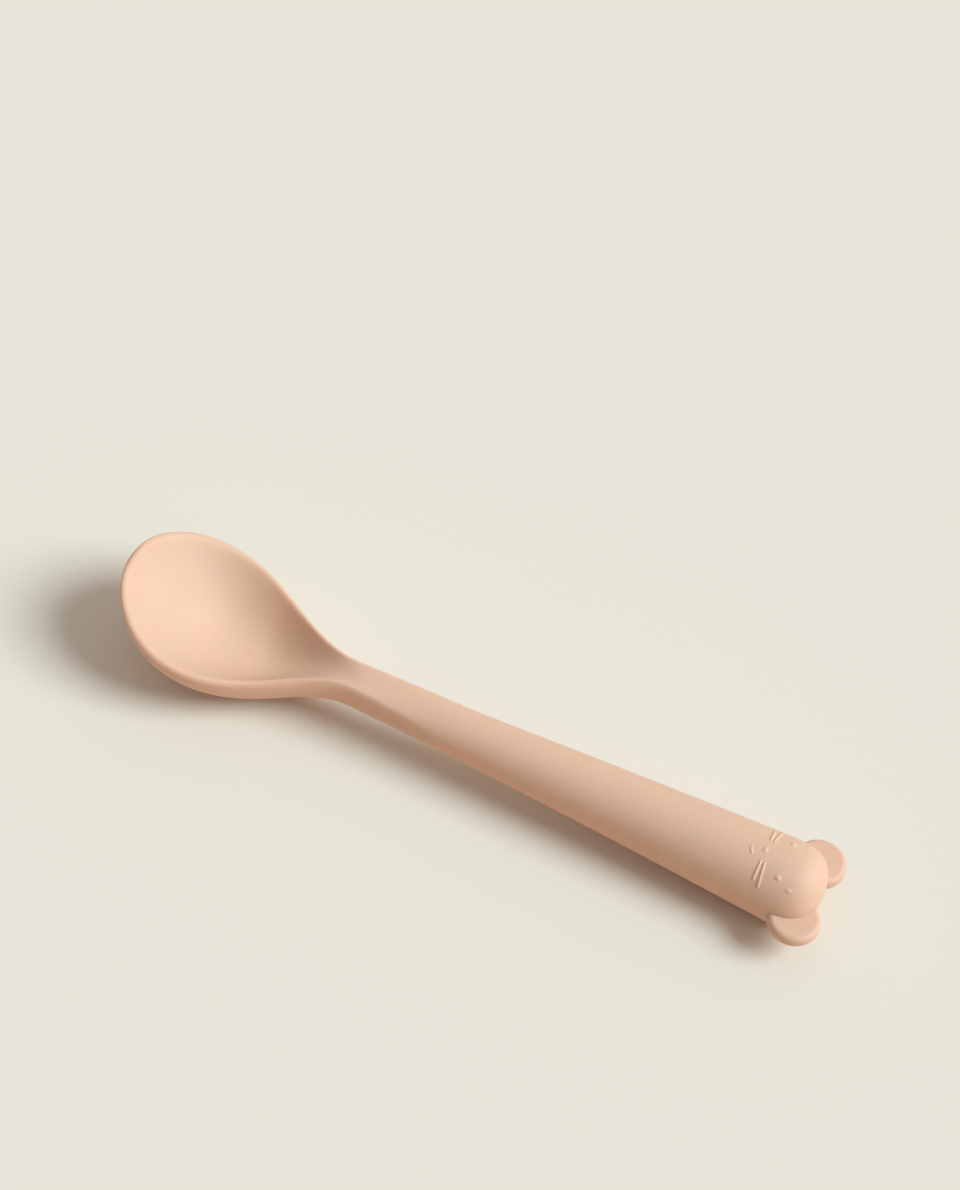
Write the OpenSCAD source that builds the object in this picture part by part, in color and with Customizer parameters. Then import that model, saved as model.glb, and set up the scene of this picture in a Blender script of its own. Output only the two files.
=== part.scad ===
/* [Spoon] */
// Length from the tip of the bowl to the end of the head
spoon_l = 150; // [135:1:175]

/* [Bowl] */
// Width of the bowl across its rim
bowl_w = 32.8; // [27:0.1:38]
// Distance from the tip to the widest line of the rim
rim_wide_x = 16; // [13:0.1:20]
// Distance from the tip to the narrowest line of the neck
bowl_l = 49.8; // [44:0.1:58]
// Distance from the tip to the lowest point of the belly
belly_x = 28.7; // [25:0.1:34]
// Rise of the rim line from the neck to the tip
tip_rise = 10.2; // [5:0.1:12]
// Width of the rounded lip around the hollow
lip_w = 1.3; // [1.2:0.1:2.4]
// Height of the lip above the rim line
lip_h = 1.2; // [0.6:0.1:1.8]
// Thickness of the floor at the belly
floor_t = 5.8; // [4.5:0.1:7]
// Length over which the hollow runs out past the neck line
runout_l = 3; // [1:0.5:8]

/* [Neck] */
// Width of the neck at its narrowest line
neck_w = 8.4; // [7.6:0.1:11]
// Height of the neck's widest line above the table
neck_z = 10.4; // [9:0.1:12]
// Height of the neck's crown above its widest line
neck_crown = 3.5; // [3:0.1:5]
// Clear height under the neck
neck_lift = 6.1; // [4:0.1:7]

/* [Head] */
// Width of the handle at the head
head_w = 17.7; // [15:0.1:21]
// Height of the handle at the head
head_h = 16.2; // [15:0.1:20]
// Length of the domed end of the head
dome_l = 6.9; // [5:0.1:10]

/* [Ears] */
// Diameter of an ear
ear_d = 10.4; // [8:0.1:12]
// Thickness of an ear
ear_t = 2.9; // [2.2:0.1:4]
// Radius of the rounded edge of an ear
ear_edge_r = 1.1; // [0.6:0.1:1.1]
// Distance between the centres of the two ears
ear_spread = 14.2; // [13:0.1:17]
// Distance of the ear centres back from the end of the head
ear_set = 3.3; // [2:0.1:5]
// Drop of the ears below the middle of the head
ear_drop = 0.4; // [0:0.05:1]
// Gap between an ear and its seat in the head
seat_gap = 0.03; // [0.02:0.01:0.1]

/* [Core] */
// Least thickness of silicone over the tongue of the core
tongue_skin = 2; // [1.6:0.1:2.4]
// Thickness of silicone around the thick end of the core
head_skin = 3.4; // [2.5:0.1:4.5]
// Silicone between the thick end of the core and the seats of the ears
end_skin = 3; // [2:0.5:6]
// Thickness of the flat tongue
tongue_t = 2; // [1.5:0.1:2.6]
// Length of the tongue in front of the stem
tongue_l = 13; // [10:0.5:16]
// Reach of the tongue past the neck line, into the root of the bowl
tongue_reach = 3; // [1:0.5:5]
// Diameter of the keying holes in the tongue
tongue_key_d = 1.8; // [1.2:0.1:2.2]
// Number of keying holes across the stem
stem_keys = 4; // [2:1:6]
// Diameter of the keying holes across the stem
stem_key_d = 2.6; // [2:0.1:3]

/* [Hidden] */

skin_colour = "#DFC2AA";
ear_colour = "#DFC0A8";
core_colour = "#EFEBE2";
$fn = 64;

// Shape of the long curves
rim_curve = 3.2;
belly_curve = 1.6;
shoulder_curve = 1.07;
taper_curve = 1.2;
droop_curve = 2.5;
front_curve = 2.3;
hollow_curve = 1.1;
round_off_l = 28;

// Places along the spoon, measured from the tip
head_x = spoon_l - dome_l;
ear_x = spoon_l - ear_set;
hollow_end_x = bowl_l + runout_l;
span = max(spoon_l, ear_x + ear_d / 2);
tip_z = neck_z + tip_rise;
head_z = head_h / 2;

function ramp(u) = let (k = min(1, max(0, u))) k * k * (3 - 2 * k);
function along(x, from, to) = min(1, max(0, (x - from) / (to - from)));
function taper(x) = pow(max(0, (x - bowl_l) / (head_x - bowl_l)), taper_curve);
function dome(x) = x > head_x ? sqrt(max(0, 1 - pow((x - head_x) / dome_l, 2))) : 1;
function nose(x) = x < lip_w ? sqrt(max(0, 1 - pow(1 - x / lip_w, 2))) : 1;
// 0 in the bowl, where the section has a lip, and 1 in the handle, where it is round
function roundness(x) = ramp((x - bowl_l) / round_off_l);

// Half width at the rim line
function half_w(x) =
    x < rim_wide_x ? bowl_w / 2 * sqrt(max(0, 1 - pow(1 - x / rim_wide_x, 2))) :
    x < bowl_l ? neck_w / 2 + (bowl_w - neck_w) / 4
        * (1 + cos(180 * pow(along(x, rim_wide_x, bowl_l), shoulder_curve))) :
    (neck_w + (head_w - neck_w) * taper(x)) / 2 * dome(x);

// Height of the rim line in the bowl, and of the widest line in the handle
function rim_z(x) =
    x < bowl_l ? neck_z + tip_rise * pow(1 - x / bowl_l, rim_curve) :
    neck_z + (head_z - neck_z) * pow(along(x, bowl_l, head_x), droop_curve);

// Height of the underside along the middle
function keel_z(x) =
    x < belly_x ? tip_z * (1 - pow(1 - pow(1 - x / belly_x, belly_curve), 1 / belly_curve)) :
    x < bowl_l ? neck_lift * (1 - cos(180 * along(x, belly_x, bowl_l))) / 2 :
    neck_lift * max(0, 1 - taper(x));

// Depth of the section under the widest line, and its crown over it
function under(x) = (rim_z(x) - keel_z(x)) * dome(x);
function crown(x) =
    x < bowl_l ? lip_h * nose(x) + (neck_crown - lip_h) * ramp(along(x, belly_x, bowl_l)) :
    (neck_crown + (head_z - neck_crown) * taper(x)) * dome(x);

// The hollow: its half width inside the lip, the height of its floor and its depth
lip_cos = cos(30);
function inner_x(x) = x < belly_x ? lip_w + x * (belly_x - lip_w) / belly_x : x;
function inner_half_w(x) =
    let (lip = half_w(x) - lip_w * min(1, half_w(x) / (2 * lip_w)))
    x < rim_wide_x ? (bowl_w / 2 - lip_w) * sqrt(max(0, 1 - pow(1 - x / rim_wide_x, 2))) :
    lip + (half_w(x) * lip_cos - lip) * roundness(x);
function crest_z(x) = rim_z(x) + crown(x);
front_crest_z = rim_z(lip_w) + lip_h;
function floor_z(x) =
    x < belly_x ? floor_t + (front_crest_z - floor_t) * pow(1 - along(x, lip_w, belly_x), front_curve) :
    floor_t + (crest_z(hollow_end_x) - floor_t)
        * (1 - cos(180 * along(x, belly_x, hollow_end_x))) / 2;
function hollow_depth(x) = x < hollow_end_x ? max(0, crest_z(x) - floor_z(x)) : 0;

// One point of a section: under the rim line, over the lip, or in the hollow
function under_point(x, c, s) = [x, half_w(x) * c, rim_z(x) + under(x) * s];
function lip_point(x, c, s) =
    let (
        in = (1 - abs(c)) / (1 - lip_cos),
        px = x + (inner_x(x) - x) * in,
        py = half_w(x) + (inner_half_w(x) - half_w(x)) * in,
        rise = sqrt(1 - pow(1 - in, 2)) * (1 - roundness(x)) + s * roundness(x)
    )
    [px, sign(c) * py, rim_z(px) + crown(px) * rise];
function hollow_point(x, c, s) =
    let (
        px = inner_x(x),
        out = abs(c) / lip_cos,
        rise = (1 - roundness(x)) + s * roundness(x)
    )
    [px, sign(c) * inner_half_w(x) * out,
        rim_z(px) + crown(px) * rise - hollow_depth(px) * pow(1 - out * out, hollow_curve)];
function section_point(x, a) =
    let (c = cos(a), s = sin(a))
    s <= 0 ? under_point(x, c, s) :
    abs(c) >= lip_cos - 0.0001 ? lip_point(x, c, s) : hollow_point(x, c, s);

// Sections along the spoon, close together where the outline turns
front_steps = 14;
shoulder_steps = 17;
handle_steps = 15;
dome_steps = 9;
sides = 48;
lip_steps = sides / 12;
stations = [
    for (i = [1 : front_steps]) rim_wide_x * (1 - cos(90 * i / front_steps)),
    for (i = [1 : shoulder_steps]) rim_wide_x + (bowl_l - rim_wide_x) * i / shoulder_steps,
    for (i = [1 : handle_steps]) bowl_l + (head_x - bowl_l) * i / handle_steps,
    for (i = [1 : dome_steps - 1]) head_x + dome_l * sin(90 * i / dome_steps)
];

// The tip of the bowl is a short line of points from the rim to the front of the hollow
tip_points = [for (k = [0 : lip_steps]) section_point(0, 90 * k / (3 * lip_steps))];
function tip_index(j) = let (k = min(j, sides / 2 - j)) k < 0 ? 0 : min(lip_steps, k);
function ring_index(i, j) = lip_steps + 1 + i * sides + j % sides;
end_index = ring_index(len(stations), 0);

module skin_loft() {
    rings = [
        for (x = stations)
        for (j = [0 : sides - 1]) section_point(x, 360 * j / sides)
    ];
    end_point = [spoon_l, 0, head_z];
    tip_faces = [
        for (j = [0 : sides - 1])
        let (a = tip_index(j), b = tip_index((j + 1) % sides))
        each concat(
            [[ring_index(0, j), ring_index(0, j + 1), b]],
            a == b ? [] : [[ring_index(0, j), b, a]]
        )
    ];
    side_faces = [
        for (i = [0 : len(stations) - 2])
        for (j = [0 : sides - 1])
        each [
            [ring_index(i, j), ring_index(i + 1, j), ring_index(i + 1, j + 1)],
            [ring_index(i, j), ring_index(i + 1, j + 1), ring_index(i, j + 1)]
        ]
    ];
    end_faces = [
        for (j = [0 : sides - 1])
        [ring_index(len(stations) - 1, j), end_index, ring_index(len(stations) - 1, j + 1)]
    ];
    polyhedron(
        concat(tip_points, rings, [end_point]),
        concat(tip_faces, side_faces, end_faces)
    );
}

// The straight line of the core runs from the middle of the neck to the middle of the head
core_r = neck_w / 2 - tongue_skin;
core_end_r = head_z - head_skin;
neck_mid_z = (neck_lift + neck_z + neck_crown) / 2;
core_start_x = bowl_l - tongue_reach;
core_end_x = ear_x - ear_d / 2 - end_skin;
core_tilt = atan2(neck_mid_z - head_z, head_x - bowl_l);
stem_l = core_end_x - core_start_x - tongue_l;
key_pitch = stem_l / (stem_keys + 1);

module core_solid() {
    translate([core_start_x, 0, neck_mid_z])
    rotate([0, core_tilt, 0])
    difference() {
        union() {
            tongue_plate();
            stem();
        }
        for (k = [1 : 2])
            translate([core_r + (tongue_l - core_r) * (k - 1) / 2, 0, -core_r])
                cylinder(h = 2 * core_r, d = tongue_key_d);
        for (k = [1 : stem_keys])
            translate([tongue_l + k * key_pitch, 0, -head_h / 2])
                cylinder(h = head_h, d = stem_key_d);
    }
}

// Flat tongue with a round nose, rooted in the stem
module tongue_plate() {
    translate([core_r, 0, -tongue_t / 2])
        cylinder(h = tongue_t, r = core_r);
    translate([core_r, -core_r, -tongue_t / 2])
        cube([tongue_l, 2 * core_r, tongue_t]);
}

// Tapered stem with a round end
module stem() {
    translate([tongue_l, 0, 0])
    rotate([0, 90, 0])
    rotate_extrude()
    intersection() {
        union() {
            polygon([[0, 0], [core_r, 0], [core_end_r, stem_l - core_end_r], [0, stem_l - core_end_r]]);
            translate([0, stem_l - core_end_r])
                circle(r = core_end_r);
        }
        square([core_end_r, stem_l]);
    }
}

// A thick disc with a rounded edge, lying flat; side is 1 for the far ear and -1 for the near one
module ear_disc(side, grow = 0) {
    flat_r = ear_d / 2 - ear_edge_r;
    edge_r = ear_edge_r + grow;
    edge_z = ear_t / 2 - ear_edge_r;
    translate([ear_x, side * ear_spread / 2, head_z - ear_drop])
    rotate_extrude()
    union() {
        translate([0, -edge_z - edge_r])
            square([flat_r, 2 * (edge_z + edge_r)]);
        translate([0, -edge_z])
            square([flat_r + edge_r, 2 * edge_z]);
        for (end = [-1, 1])
            intersection() {
                translate([flat_r, end * edge_z])
                    circle(r = edge_r);
                translate([0, -ear_t])
                    square([ear_d, 2 * ear_t]);
            }
    }
}

// The whole spoon stands on the table with the middle of its length at the origin
module placed() {
    translate([-span / 2, 0, 0])
        children();
}

module silicone_body() {
    color(skin_colour)
    placed()
    difference() {
        skin_loft();
        core_solid();
        for (side = [-1, 1])
            ear_disc(side, seat_gap);
    }
}

module stem_core() {
    color(core_colour)
    placed()
        core_solid();
}

module left_ear() {
    color(ear_colour)
    placed()
        ear_disc(1);
}

module right_ear() {
    color(ear_colour)
    placed()
        ear_disc(-1);
}

silicone_body();
stem_core();
left_ear();
right_ear();
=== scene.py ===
"""Looks of a soft baby spoon: its moulded skin with the animal face, its ears and its finishes."""

import math

import bmesh
import bpy
import numpy as np
from mathutils import Matrix, Vector


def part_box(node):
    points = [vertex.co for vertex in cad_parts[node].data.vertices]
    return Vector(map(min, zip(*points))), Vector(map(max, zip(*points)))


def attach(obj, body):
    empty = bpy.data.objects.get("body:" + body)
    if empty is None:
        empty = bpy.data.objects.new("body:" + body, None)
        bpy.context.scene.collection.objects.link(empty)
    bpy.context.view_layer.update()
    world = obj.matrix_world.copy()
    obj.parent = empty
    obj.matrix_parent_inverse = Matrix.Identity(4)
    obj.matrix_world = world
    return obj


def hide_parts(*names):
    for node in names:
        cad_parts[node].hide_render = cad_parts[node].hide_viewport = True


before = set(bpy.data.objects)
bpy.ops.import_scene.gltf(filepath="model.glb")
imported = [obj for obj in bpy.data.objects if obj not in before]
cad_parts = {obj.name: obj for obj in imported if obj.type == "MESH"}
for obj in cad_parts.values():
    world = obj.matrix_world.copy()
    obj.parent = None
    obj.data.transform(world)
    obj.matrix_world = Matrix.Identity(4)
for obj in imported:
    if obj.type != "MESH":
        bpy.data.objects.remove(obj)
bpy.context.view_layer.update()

MM = 0.001

# Sizes in millimetres that the frame gives; places along the spoon are measured from the bowl's tip
BODY_LOW, BODY_HIGH = (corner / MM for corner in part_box("silicone_body"))
EAR_LOW, EAR_HIGH = (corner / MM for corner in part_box("left_ear"))
SPOON_L = BODY_HIGH.x - BODY_LOW.x
BOWL_W = BODY_HIGH.y - BODY_LOW.y
EAR_D = EAR_HIGH.x - EAR_LOW.x
EAR_T = EAR_HIGH.z - EAR_LOW.z
EAR_CENTRE = (EAR_LOW + EAR_HIGH) / 2

# Bowl
RIM_WIDE_X = 16.0
BOWL_L = 49.8
BELLY_X = 28.7
TIP_RISE = 10.2
LIP_W = 1.3
LIP_H = 1.2
FLOOR_T = 5.8
RUNOUT_L = 3.0

# Neck, head and ears
NECK_W = 8.4
NECK_Z = 10.4
NECK_CROWN = 3.5
NECK_LIFT = 6.1
HEAD_W = 17.7
HEAD_H = 16.2
DOME_L = 6.9
DOME_SOFT_L = 12.0
EAR_EDGE_R = 1.1

# Shape of the long curves
RIM_CURVE = 3.2
BELLY_CURVE = 1.6
SHOULDER_CURVE = 1.07
TAPER_CURVE = 1.2
DROOP_CURVE = 2.5
FRONT_CURVE = 2.3
HOLLOW_CURVE = 1.1
ROUND_OFF_L = 28.0
DOME_CURVE = 3.8
LIP_ANGLE = math.radians(30)
LIP_COS = math.cos(LIP_ANGLE)

# Places worked out from these sizes
HEAD_X = SPOON_L - DOME_L
HOLLOW_END_X = BOWL_L + RUNOUT_L
TIP_Z = NECK_Z + TIP_RISE
HEAD_Z = HEAD_H / 2

# Rings along the spoon, points around a ring, and the distance at which points count as one
FRONT_RINGS = 48
SHOULDER_RINGS = 64
HANDLE_RINGS = 72
DOME_RINGS = 56
FACE_RING_PITCH = 0.1
TOP_POINTS = 180
UNDER_POINTS = 56
EAR_SEGMENTS = 144
EAR_FLAT_STEPS = 8
EAR_ARC_STEPS = 14
WELD_DISTANCE = 1e-4 * MM
SMALLEST_NORMAL = 1e-12

# Softening of the lip's inner edge
LIP_SOFT_ANGLE = math.radians(24)
LIP_SOFT_PASSES = 45

# Raised face on top of the head: places are (distance from the tip, degrees round from the face's middle),
# and the whole face is turned a few degrees round the head
FACE_FROM_X = 132.5
FACE_TURN = -3.0
FACE_MM_PER_DEGREE = math.radians((HEAD_W + HEAD_H) / 4)
WHISKERS = (((136.8, 18.5), (136.8, 43.0)), ((137.6, 18.0), (138.2, 50.5)))
WHISKER_W = 0.72
WHISKER_H = 0.26
EYE_PLACE = (141.0, 28.0)
EYE_SIZE = (1.8, 1.45)
EYE_H = 0.28
BROW_PLACE = (143.8, 37.5)
BROW_SIZE = (2.0, 1.3)
BROW_H = 0.17
NOSE_PLACE = (136.7, 0.0)
NOSE_SIZE = (1.4, 2.2)
NOSE_H = 0.19
MOUTH = ((134.0, -2.5), (134.15, -7.0), (134.65, -12.0))
MOUTH_W = 0.72
MOUTH_H = 0.15

# View
LENS_MM = 87.73
SENSOR_MM = 36.0
CAMERA_AT = Vector((91.425, -307.66, 477.08)) * MM
CAMERA_TO = Vector((-15.875, 39.75, 0.0)) * MM
CAMERA_ROLL = math.radians(-9.467)

# Light: a key lamp, and a fill that is even apart from a rise towards one direction
KEY_AZIMUTH = math.radians(12)
KEY_ELEVATION = math.radians(44)
KEY_SPREAD = math.radians(33)
FILL_FROM = Vector((0.0, 0.65, 0.76))
FILL_EVEN = Vector((0.29, 0.245, 0.22))
FILL_RISE = Vector((0.31, 0.31, 0.31))

# Floor in metres
FLOOR_SIZE = 6.0
FLOOR_DROP = 0.02 * MM


def linear_rgb(hex_code):
    """Linear colour of a six-digit sRGB code."""
    channels = [int(hex_code[i : i + 2], 16) / 255 for i in (0, 2, 4)]
    return [c / 12.92 if c <= 0.04045 else ((c + 0.055) / 1.055) ** 2.4 for c in channels]


# Colours; the glow is what the floor's card throws back on the spoon
SKIN_COLOUR = linear_rgb("E2BFA4")
EAR_COLOUR = linear_rgb("E1BCA2")
NYLON_COLOUR = linear_rgb("EFEBE2")
CARD_COLOUR = linear_rgb("E7E5D9")
CARD_GLOW_COLOUR = (0.90, 0.68, 0.55)

# Gloss of the finishes
SILICONE_IOR = 1.41
SILICONE_GLOSS = 1.0
NYLON_IOR = 1.53
CARD_GLOSS = 0.1

# Share of the light that sinks into the silicone, how deep in millimetres, and how far each colour gets
SKIN_SINK = 0.4
EAR_SINK = 0.2
SINK_DEPTH = 2.0
SINK_BY_COLOUR = (1.0, 0.4, 0.22)


# Curves of the spoon

def ramp(u):
    """Smooth step from 0 to 1."""
    k = np.clip(u, 0, 1)
    return k * k * (3 - 2 * k)


def along(x, start, end):
    """How far x lies from start to end, from 0 to 1."""
    return np.clip((x - start) / (end - start), 0, 1)


def taper(x):
    """Growth of the handle from 0 at the neck to 1 at the head."""
    return np.maximum(0, (x - BOWL_L) / (HEAD_X - BOWL_L)) ** TAPER_CURVE


def dome(x):
    """Rounding of the head's end, which starts gently on the handle and closes at the end."""
    return np.sqrt(1 - along(x, SPOON_L - DOME_SOFT_L, SPOON_L) ** DOME_CURVE)


def swell(x, length):
    """Quarter ellipse that rises from 0 at the tip to 1 at the given length."""
    return np.sqrt(1 - (1 - along(x, 0, length)) ** 2)


def dip(u):
    """Rounded fall from 1 to 0 that is steep first, as at the front of the belly."""
    return 1 - (1 - (1 - u) ** BELLY_CURVE) ** (1 / BELLY_CURVE)


def rise(u):
    """Half wave from 0 to 1."""
    return (1 - np.cos(np.pi * u)) / 2


def roundness(x):
    """0 in the bowl, where the section has a lip, and 1 in the handle, where it is round."""
    return ramp((x - BOWL_L) / ROUND_OFF_L)


def half_width(x):
    """Half the spoon's width on its rim line."""
    front = BOWL_W / 2 * swell(x, RIM_WIDE_X)
    waist = 1 - rise(along(x, RIM_WIDE_X, BOWL_L) ** SHOULDER_CURVE)
    shoulder = NECK_W / 2 + (BOWL_W - NECK_W) / 2 * waist
    handle = (NECK_W + (HEAD_W - NECK_W) * taper(x)) / 2 * dome(x)
    return np.where(x < RIM_WIDE_X, front, np.where(x < BOWL_L, shoulder, handle))


def rim_z(x):
    """Height of the rim line, where the section is widest."""
    bowl = NECK_Z + TIP_RISE * (1 - along(x, 0, BOWL_L)) ** RIM_CURVE
    handle = NECK_Z + (HEAD_Z - NECK_Z) * along(x, BOWL_L, HEAD_X) ** DROOP_CURVE
    return np.where(x < BOWL_L, bowl, handle)


def keel_z(x):
    """Height of the lowest line of the underside."""
    front = TIP_Z * dip(along(x, 0, BELLY_X))
    back = NECK_LIFT * rise(along(x, BELLY_X, BOWL_L))
    handle = NECK_LIFT * np.maximum(0, 1 - taper(x))
    return np.where(x < BELLY_X, front, np.where(x < BOWL_L, back, handle))


def under_depth(x):
    """Depth of the underside below the rim line."""
    return (rim_z(x) - keel_z(x)) * dome(x)


def crown(x):
    """Height of the lip, and of the handle's top, over the rim line."""
    bowl = LIP_H * swell(x, LIP_W) + (NECK_CROWN - LIP_H) * ramp(along(x, BELLY_X, BOWL_L))
    handle = (NECK_CROWN + (HEAD_Z - NECK_CROWN) * taper(x)) * dome(x)
    return np.where(x < BOWL_L, bowl, handle)


def inner_x(x):
    """Place of the hollow's edge along the spoon, set back from the tip by the lip."""
    return np.where(x < BELLY_X, LIP_W + x * (BELLY_X - LIP_W) / BELLY_X, x)


def inner_half_width(x):
    """Half the hollow's width between the lips, which fades into the handle's round section."""
    front = (BOWL_W / 2 - LIP_W) * swell(x, RIM_WIDE_X)
    lip = half_width(x) - LIP_W * np.minimum(1, half_width(x) / (2 * LIP_W))
    back = lip + (half_width(x) * LIP_COS - lip) * roundness(x)
    return np.where(x < RIM_WIDE_X, front, back)


def hollow_depth(x):
    """Depth of the hollow's middle below the lip's crest."""
    front_crest = rim_z(LIP_W) + LIP_H
    end_crest = rim_z(HOLLOW_END_X) + crown(HOLLOW_END_X)
    front = FLOOR_T + (front_crest - FLOOR_T) * (1 - along(x, LIP_W, BELLY_X)) ** FRONT_CURVE
    back = FLOOR_T + (end_crest - FLOOR_T) * rise(along(x, BELLY_X, HOLLOW_END_X))
    floor = np.where(x < BELLY_X, front, back)
    return np.where(x < HOLLOW_END_X, np.maximum(0, rim_z(x) + crown(x) - floor), 0)


# Skin of the spoon as a grid of rings

def skin_stations():
    """Ring places along the spoon, close together where the outline turns and under the face."""
    front = RIM_WIDE_X * (1 - np.cos(np.linspace(0, np.pi / 2, FRONT_RINGS, endpoint=False)))
    shoulder = np.linspace(RIM_WIDE_X, BOWL_L, SHOULDER_RINGS, endpoint=False)
    handle = np.linspace(BOWL_L, FACE_FROM_X, HANDLE_RINGS, endpoint=False)
    face = np.arange(FACE_FROM_X, HEAD_X, FACE_RING_PITCH)
    end = HEAD_X + DOME_L * np.sin(np.linspace(0, np.pi / 2, DOME_RINGS + 1))
    return np.concatenate([front, shoulder, handle, face, end])


def skin_angles():
    """Angles round a ring: from the left side over the top, then back under the belly."""
    top = np.linspace(0, np.pi, TOP_POINTS, endpoint=False)
    under = np.linspace(np.pi, 2 * np.pi, UNDER_POINTS, endpoint=False)
    return np.concatenate([top, under])


def points_of(x, y, z):
    """Points from arrays of their three places, spread to one shape."""
    return np.stack(np.broadcast_arrays(x, y, z), axis=-1)


def skin_grid(stations, angles):
    """Points of the loft: under the rim line, over the lip and in the hollow."""
    x, c, s = stations[:, None], np.cos(angles)[None], np.sin(angles)[None]
    reach, side, turned = np.abs(c), np.sign(c), roundness(stations)[:, None]
    under = points_of(x, half_width(x) * c, rim_z(x) + under_depth(x) * s)

    inward = np.clip((1 - reach) / (1 - LIP_COS), 0, 1)
    lip_x = x + (inner_x(x) - x) * inward
    lip_y = half_width(x) + (inner_half_width(x) - half_width(x)) * inward
    lip_rise = np.sqrt(1 - (1 - inward) ** 2) * (1 - turned) + s * turned
    lip = points_of(lip_x, side * lip_y, rim_z(lip_x) + crown(lip_x) * lip_rise)

    outward = np.clip(reach / LIP_COS, 0, 1)
    in_x = inner_x(x)
    depth = hollow_depth(in_x) * (1 - outward**2) ** HOLLOW_CURVE
    hollow_z = rim_z(in_x) + crown(in_x) * (1 - turned + s * turned) - depth
    hollow = points_of(in_x, side * inner_half_width(x) * outward, hollow_z)

    top = np.where((reach >= LIP_COS)[..., None], lip, hollow)
    return np.where((s <= 0)[..., None], under, top)


def soften_lip(grid, stations, angles):
    """Rounds the inner edge of the lip, less and less where the section turns round."""
    from_edge = np.minimum(np.abs(angles - LIP_ANGLE), np.abs(angles - np.pi + LIP_ANGLE))
    window = ramp(1 - from_edge / LIP_SOFT_ANGLE)[None, :, None]
    weight = window * (1 - roundness(stations))[:, None, None] / 2
    for _ in range(LIP_SOFT_PASSES):
        between = (np.roll(grid, 1, axis=1) + np.roll(grid, -1, axis=1)) / 2
        grid = grid + weight * (between - grid)
    return grid


def outward_normals(grid):
    """Unit normals of the grid; a ring that is closed to a point keeps a zero normal."""
    lengthwise = np.gradient(grid, axis=0)
    around = np.roll(grid, -1, axis=1) - np.roll(grid, 1, axis=1)
    normal = np.cross(around, lengthwise)
    size = np.linalg.norm(normal, axis=-1, keepdims=True)
    return normal / np.maximum(size, SMALLEST_NORMAL)


# Raised face

def bead(distance, width, height):
    """Height of a rounded bead at some distance from its middle line."""
    return height * ramp(1 - 2 * distance / width)


def on_face(place, side=1):
    """A place of the face in millimetres along the head and round it."""
    return np.array([place[0], side * place[1] * FACE_MM_PER_DEGREE])


def stroke(spot, start, end, width, height):
    """Bead along a straight line, with round ends."""
    line = end - start
    share = np.clip(((spot - start) @ line) / (line @ line), 0, 1)
    nearest = start + share[..., None] * line
    return bead(np.linalg.norm(spot - nearest, axis=-1), width, height)


def button(spot, centre, size, height):
    """Oval bump."""
    return bead(np.linalg.norm((spot - centre) / np.array(size), axis=-1), 1, height)


def face_relief(stations, angles):
    """Height of the face over the head at each point of the grid."""
    turn = (np.degrees(np.pi / 2 - angles) - FACE_TURN) * FACE_MM_PER_DEGREE
    spot = np.stack(np.broadcast_arrays(stations[:, None], turn[None]), axis=-1)
    marks = [button(spot, on_face(NOSE_PLACE), NOSE_SIZE, NOSE_H)]
    for start, end in zip(MOUTH, MOUTH[1:]):
        marks.append(stroke(spot, on_face(start), on_face(end), MOUTH_W, MOUTH_H))
    for side in (-1, 1):
        marks.append(button(spot, on_face(EYE_PLACE, side), EYE_SIZE, EYE_H))
        marks.append(button(spot, on_face(BROW_PLACE, side), BROW_SIZE, BROW_H))
        for root, tip in WHISKERS:
            marks.append(stroke(spot, on_face(root, side), on_face(tip, side), WHISKER_W, WHISKER_H))
    return np.max(marks, axis=0)


# Meshes

def closed_mesh(name, grid):
    """Smooth closed mesh of a grid of rings in millimetres, whose first and last rings close up."""
    rings, points = grid.shape[:2]
    index = np.arange(rings * points).reshape(rings, points)
    after = np.roll(index, -1, axis=1)
    faces = np.stack([index[:-1], after[:-1], after[1:], index[1:]], axis=-1).reshape(-1, 4)
    mesh = bpy.data.meshes.new(name)
    mesh.from_pydata((grid.reshape(-1, 3) * MM).tolist(), [], faces.tolist())
    work = bmesh.new()
    work.from_mesh(mesh)
    bmesh.ops.remove_doubles(work, verts=work.verts, dist=WELD_DISTANCE)
    bmesh.ops.recalc_face_normals(work, faces=work.faces)
    work.to_mesh(mesh)
    work.free()
    mesh.shade_smooth()
    piece = bpy.data.objects.new(name, mesh)
    bpy.context.scene.collection.objects.link(piece)
    return piece


def spoon_skin():
    """Outer skin of the one-piece moulding: bowl, neck, handle, head and face."""
    stations, angles = skin_stations(), skin_angles()
    grid = soften_lip(skin_grid(stations, angles), stations, angles)
    grid += outward_normals(grid) * face_relief(stations, angles)[..., None]
    grid[..., 0] += BODY_LOW.x
    return closed_mesh("body_moulding", grid)


def ear_profile():
    """Half section of an ear from the middle of its top to the middle of its underside."""
    flat_r, edge_z = EAR_D / 2 - EAR_EDGE_R, EAR_T / 2 - EAR_EDGE_R
    turn = np.linspace(np.pi / 2, 0, EAR_ARC_STEPS + 1)
    flat = np.linspace(0, flat_r, EAR_FLAT_STEPS, endpoint=False)
    upper_r = np.concatenate([flat, flat_r + EAR_EDGE_R * np.cos(turn)])
    upper_z = np.concatenate([np.full(EAR_FLAT_STEPS, EAR_T / 2), edge_z + EAR_EDGE_R * np.sin(turn)])
    return np.concatenate([upper_r, upper_r[::-1]]), np.concatenate([upper_z, -upper_z[::-1]])


def ear_disc(name, side):
    """Thick disc with a rounded edge, lying flat beside the head."""
    radius, height = (values[:, None] for values in ear_profile())
    turn = np.linspace(0, 2 * np.pi, EAR_SEGMENTS, endpoint=False)
    x = EAR_CENTRE.x + radius * np.cos(turn)
    y = side * EAR_CENTRE.y + radius * np.sin(turn)
    return closed_mesh(name, points_of(x, y, EAR_CENTRE.z + height))


# Finishes

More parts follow.
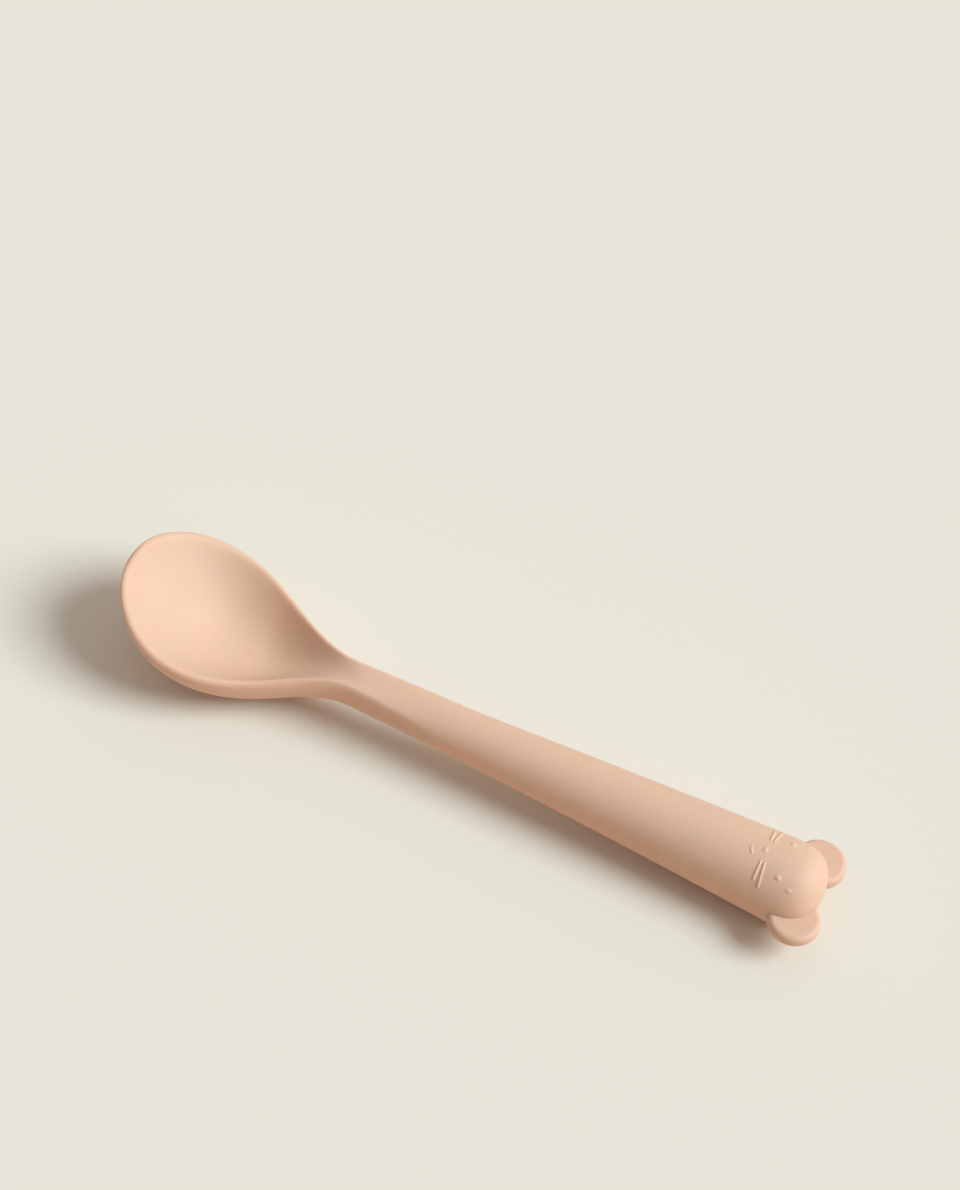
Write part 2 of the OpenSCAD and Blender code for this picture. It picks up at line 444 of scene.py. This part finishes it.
def put(tree, kind, **settings):
    """Adds a node and sets its properties."""
    node = tree.nodes.new(kind)
    for key, value in settings.items():
        setattr(node, key, value)
    return node


def moulded_grain_group():
    """Pigment clouds, roughness and fine surface grain of a moulded material."""
    group = bpy.data.node_groups.new("moulded_grain", "ShaderNodeTree")
    face = group.interface
    face.new_socket("Colour", in_out="INPUT", socket_type="NodeSocketColor")
    for label in ("Cloud Size", "Cloud Depth", "Grain Size", "Roughness Low", "Roughness High"):
        face.new_socket(label, in_out="INPUT", socket_type="NodeSocketFloat")
    face.new_socket("Colour", in_out="OUTPUT", socket_type="NodeSocketColor")
    for label in ("Roughness", "Grain"):
        face.new_socket(label, in_out="OUTPUT", socket_type="NodeSocketFloat")
    given, result = put(group, "NodeGroupInput"), put(group, "NodeGroupOutput")
    place = put(group, "ShaderNodeTexCoord").outputs["Object"]
    link = group.links.new

    def noise(size_label, detail):
        """Noise whose lumps have the given size in millimetres."""
        scale = put(group, "ShaderNodeMath", operation="DIVIDE")
        scale.inputs[0].default_value = 1 / MM
        link(given.outputs[size_label], scale.inputs[1])
        texture = put(group, "ShaderNodeTexNoise")
        texture.inputs["Detail"].default_value = detail
        link(place, texture.inputs["Vector"])
        link(scale.outputs[0], texture.inputs["Scale"])
        return texture.outputs["Fac"]

    clouds, grain = noise("Cloud Size", 3.0), noise("Grain Size", 2.0)
    darker = put(group, "ShaderNodeMath", operation="MULTIPLY")
    link(clouds, darker.inputs[0])
    link(given.outputs["Cloud Depth"], darker.inputs[1])
    tone = put(group, "ShaderNodeMath", operation="SUBTRACT")
    tone.inputs[0].default_value = 1.0
    link(darker.outputs[0], tone.inputs[1])
    tinted = put(group, "ShaderNodeVectorMath", operation="SCALE")
    link(given.outputs["Colour"], tinted.inputs[0])
    link(tone.outputs[0], tinted.inputs["Scale"])
    link(tinted.outputs[0], result.inputs["Colour"])
    spread = put(group, "ShaderNodeMapRange")
    link(clouds, spread.inputs["Value"])
    link(given.outputs["Roughness Low"], spread.inputs["To Min"])
    link(given.outputs["Roughness High"], spread.inputs["To Max"])
    link(spread.outputs["Result"], result.inputs["Roughness"])
    link(grain, result.inputs["Grain"])
    return group


def grained_material(name, colour, clouds, grain_size, grain_depth, roughness):
    """Material with the shared grain; clouds is (size, depth), sizes and depths are in millimetres."""
    material = bpy.data.materials.new(name)
    material.use_nodes = True
    tree = material.node_tree
    shader = tree.nodes["Principled BSDF"]
    grain = put(tree, "ShaderNodeGroup", node_tree=MOULDED_GRAIN)
    values = {
        "Colour": (*colour, 1.0),
        "Cloud Size": clouds[0],
        "Cloud Depth": clouds[1],
        "Grain Size": grain_size,
        "Roughness Low": roughness[0],
        "Roughness High": roughness[1],
    }
    for label, value in values.items():
        grain.inputs[label].default_value = value
    bump = put(tree, "ShaderNodeBump")
    bump.inputs["Distance"].default_value = grain_depth * MM
    tree.links.new(grain.outputs["Grain"], bump.inputs["Height"])
    tree.links.new(grain.outputs["Colour"], shader.inputs["Base Color"])
    tree.links.new(grain.outputs["Roughness"], shader.inputs["Roughness"])
    tree.links.new(bump.outputs["Normal"], shader.inputs["Normal"])
    return material, shader


def silicone(name, colour, sink):
    """Soft matt silicone with a broad pale gloss, into which a share of the light sinks."""
    material, shader = grained_material(
        name, colour, clouds=(9.0, 0.04), grain_size=0.22, grain_depth=0.03, roughness=(0.56, 0.68)
    )
    shader.inputs["IOR"].default_value = SILICONE_IOR
    shader.inputs["Specular IOR Level"].default_value = SILICONE_GLOSS
    shader.inputs["Subsurface Weight"].default_value = sink
    shader.inputs["Subsurface Radius"].default_value = SINK_BY_COLOUR
    shader.inputs["Subsurface Scale"].default_value = SINK_DEPTH * MM
    return material


def nylon(name):
    """Natural moulded nylon of the core."""
    material, shader = grained_material(
        name, NYLON_COLOUR, clouds=(4.0, 0.06), grain_size=0.4, grain_depth=0.02, roughness=(0.4, 0.52)
    )
    shader.inputs["IOR"].default_value = NYLON_IOR
    return material


def card(name):
    """Pale matt card of the floor: it is seen in its own colour and throws a warmer light on the spoon."""
    material, shader = grained_material(
        name, CARD_COLOUR, clouds=(60.0, 0.004), grain_size=0.3, grain_depth=0.01, roughness=(0.85, 0.9)
    )
    shader.inputs["Specular IOR Level"].default_value = CARD_GLOSS
    tree = material.node_tree
    ray = put(tree, "ShaderNodeLightPath").outputs
    shown = ray["Is Camera Ray"]
    for kind in ("Is Glossy Ray", "Is Transmission Ray"):
        either = put(tree, "ShaderNodeMath", operation="MAXIMUM")
        tree.links.new(shown, either.inputs[0])
        tree.links.new(ray[kind], either.inputs[1])
        shown = either.outputs[0]
    mix = put(tree, "ShaderNodeMix", data_type="RGBA")
    choice = {socket.identifier: socket for socket in (*mix.inputs, *mix.outputs)}
    choice["A_Color"].default_value = (*CARD_GLOW_COLOUR, 1.0)
    tree.links.new(shader.inputs["Base Color"].links[0].from_socket, choice["B_Color"])
    tree.links.new(shown, choice["Factor_Float"])
    tree.links.new(choice["Result_Color"], shader.inputs["Base Color"])
    return material


# Setting

def set_floor():
    """Plain square of card just under the spoon."""
    half = FLOOR_SIZE / 2
    mesh = bpy.data.meshes.new("floor")
    corners = [(x, y, -FLOOR_DROP) for x, y in ((-half, -half), (half, -half), (half, half), (-half, half))]
    mesh.from_pydata(corners, [], [(0, 1, 2, 3)])
    floor = bpy.data.objects.new("floor", mesh)
    bpy.context.scene.collection.objects.link(floor)
    mesh.materials.append(card("pale_card"))


def set_light():
    """A broad key lamp from beyond the head and a warm fill; on the floor they add up to plain light."""
    on_floor = FILL_EVEN + FILL_RISE * FILL_FROM.z * 2 / 3
    key_share = Vector((1, 1, 1)) - on_floor
    lamp = bpy.data.lights.new("key_lamp", "SUN")
    lamp.energy = max(key_share) * math.pi / math.sin(KEY_ELEVATION)
    lamp.color = key_share / max(key_share)
    lamp.angle = KEY_SPREAD
    key = bpy.data.objects.new("key_lamp", lamp)
    flat = math.cos(KEY_ELEVATION)
    towards = Vector((flat * math.cos(KEY_AZIMUTH), flat * math.sin(KEY_AZIMUTH), math.sin(KEY_ELEVATION)))
    key.rotation_mode = "QUATERNION"
    key.rotation_quaternion = towards.to_track_quat("Z", "Y")
    bpy.context.scene.collection.objects.link(key)
    world = bpy.data.worlds.new("fill")
    world.use_nodes = True
    bpy.context.scene.world = world
    tree = world.node_tree
    towards_fill = put(tree, "ShaderNodeVectorMath", operation="DOT_PRODUCT")
    towards_fill.inputs[1].default_value = FILL_FROM
    tree.links.new(put(tree, "ShaderNodeTexCoord").outputs["Generated"], towards_fill.inputs[0])
    graded = put(tree, "ShaderNodeVectorMath", operation="MULTIPLY_ADD")
    graded.inputs[1].default_value = FILL_RISE
    graded.inputs[2].default_value = FILL_EVEN
    tree.links.new(towards_fill.outputs["Value"], graded.inputs[0])
    tree.links.new(graded.outputs["Vector"], tree.nodes["Background"].inputs["Color"])


def set_camera():
    """Camera that looks down on the spoon, rolled a little."""
    camera = bpy.data.cameras.new("camera")
    camera.lens = LENS_MM
    camera.sensor_width = SENSOR_MM
    holder = bpy.data.objects.new("camera", camera)
    ahead = (CAMERA_TO - CAMERA_AT).normalized()
    right = ahead.cross(Vector((0, 0, 1))).normalized()
    up = right.cross(ahead)
    turned_right = math.cos(CAMERA_ROLL) * right - math.sin(CAMERA_ROLL) * up
    turned_up = math.sin(CAMERA_ROLL) * right + math.cos(CAMERA_ROLL) * up
    axes = Matrix((turned_right, turned_up, -ahead)).transposed()
    holder.matrix_world = Matrix.Translation(CAMERA_AT) @ axes.to_4x4()
    bpy.context.scene.collection.objects.link(holder)
    bpy.context.scene.camera = holder


# The spoon

MOULDED_GRAIN = moulded_grain_group()
SKIN_SILICONE = silicone("skin_silicone", SKIN_COLOUR, SKIN_SINK)
EAR_SILICONE = silicone("ear_silicone", EAR_COLOUR, EAR_SINK)

skin = spoon_skin()
skin.data.materials.append(SKIN_SILICONE)
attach(skin, "root")
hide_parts("silicone_body")

for node_name, side in (("left_ear", 1), ("right_ear", -1)):
    ear = ear_disc(node_name + "_moulding", side)
    ear.data.materials.append(EAR_SILICONE)
    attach(ear, "root")
    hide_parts(node_name)

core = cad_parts["stem_core"]
core.data.materials.clear()
core.data.materials.append(nylon("core_nylon"))

set_floor()
set_light()
set_camera()
bpy.context.scene.view_settings.view_transform = "Standard"
